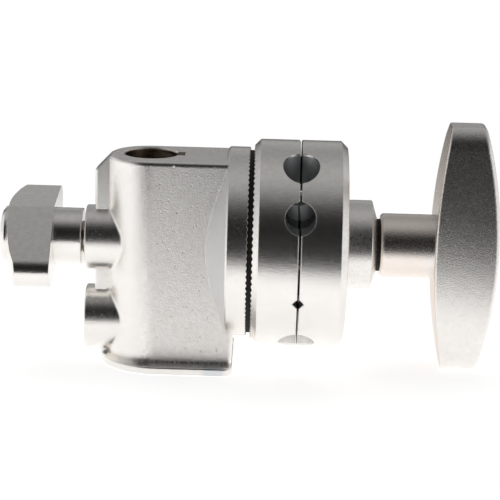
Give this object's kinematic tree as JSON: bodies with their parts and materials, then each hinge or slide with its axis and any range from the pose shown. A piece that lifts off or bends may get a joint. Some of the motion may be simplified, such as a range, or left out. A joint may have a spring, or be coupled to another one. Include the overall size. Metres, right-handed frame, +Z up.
{
  "type": "grip head",
  "caption": "Studio grip head: stud socket with a wing locking screw, two round grooved jaws on a spindle, and a T-handle that clamps them.",
  "frame": {"origin": "centre of the stud socket's lower mouth, in the plane of the receiver's foot", "axes": "+Z up the stud socket, +X along the spindle from the socket to the T-handle, -Y towards the side with the 1/2 inch rod hole"},
  "size_m": [0.156, 0.0648, 0.0782],
  "materials": {
    "cast_nickel": "satin nickel plate over a pitted casting",
    "turned_nickel": "satin nickel plate over a turned face",
    "knob_nickel": "satin nickel plate over a smooth casting",
    "bright_steel": "turned",
    "friction_fibre": "matte",
    "brass": "turned",
    "spring_steel": "drawn wire"
  },
  "bodies": {
    "receiver": {"receiver_casting": "cast_nickel", "spindle_stud": "bright_steel", "spindle_pin": "bright_steel", "friction_disc": "friction_fibre", "stop_washer": "bright_steel", "stop_screw": "bright_steel"},
    "inner_jaw": {"inner_jaw": "turned_nickel", "alignment_pins": "bright_steel", "jaw_spring": "spring_steel"},
    "outer_jaw": {"outer_jaw": "turned_nickel"},
    "thrust_washer": {"thrust_race_inner": "bright_steel"},
    "bearing_cage": {"needle_cage": "brass", "needle_rollers": "bright_steel"},
    "clamp_handle": {"thrust_race_outer": "bright_steel", "thrust_collar": "turned_nickel", "pressure_washer": "friction_fibre", "t_handle": "cast_nickel", "handle_thread_insert": "bright_steel", "handle_end_cap": "turned_nickel"},
    "lock_slider": {"lock_pressure_pad": "brass"},
    "lock_knob": {"lock_screw": "bright_steel", "lock_knob": "knob_nickel"}
  },
  "joints": [
    {"name": "jaw_swivel", "type": "hinge", "parent": "receiver", "child": "inner_jaw", "pos_m": [0.03235, 0, 0.0391], "axis": [1, 0, 0], "continuous": true},
    {"name": "jaw_opening", "type": "slide", "parent": "inner_jaw", "child": "outer_jaw", "axis": [1, 0, 0], "range_m": [0, 0.0053]},
    {"name": "clamp_travel", "type": "slide", "parent": "receiver", "child": "thrust_washer", "axis": [1, 0, 0], "range_m": [0, 0.0053]},
    {"name": "handle_turn", "type": "hinge", "parent": "thrust_washer", "child": "clamp_handle", "pos_m": [0.0714, 0, 0.0391], "axis": [1, 0, 0], "range_deg": [0, 1080]},
    {"name": "cage_turn", "type": "hinge", "parent": "thrust_washer", "child": "bearing_cage", "pos_m": [0.06347, 0, 0.0391], "axis": [1, 0, 0], "range_deg": [0, 545]},
    {"name": "lock_travel", "type": "slide", "parent": "receiver", "child": "lock_slider", "axis": [1, 0, 0], "range_m": [-0.0061, 0.00056]},
    {"name": "lock_turn", "type": "hinge", "parent": "lock_slider", "child": "lock_knob", "pos_m": [-0.0206, 0, 0.0391], "axis": [1, 0, 0], "range_deg": [-1440, 132]}
  ],
  "couplings": [
    {"joint": "jaw_opening", "follows": "handle_turn", "m_per_rad": 0.00027852},
    {"joint": "clamp_travel", "follows": "handle_turn", "m_per_rad": 0.00027852},
    {"joint": "cage_turn", "follows": "handle_turn", "ratio": 0.5},
    {"joint": "lock_travel", "follows": "lock_turn", "m_per_rad": 0.00023873}
  ]
}
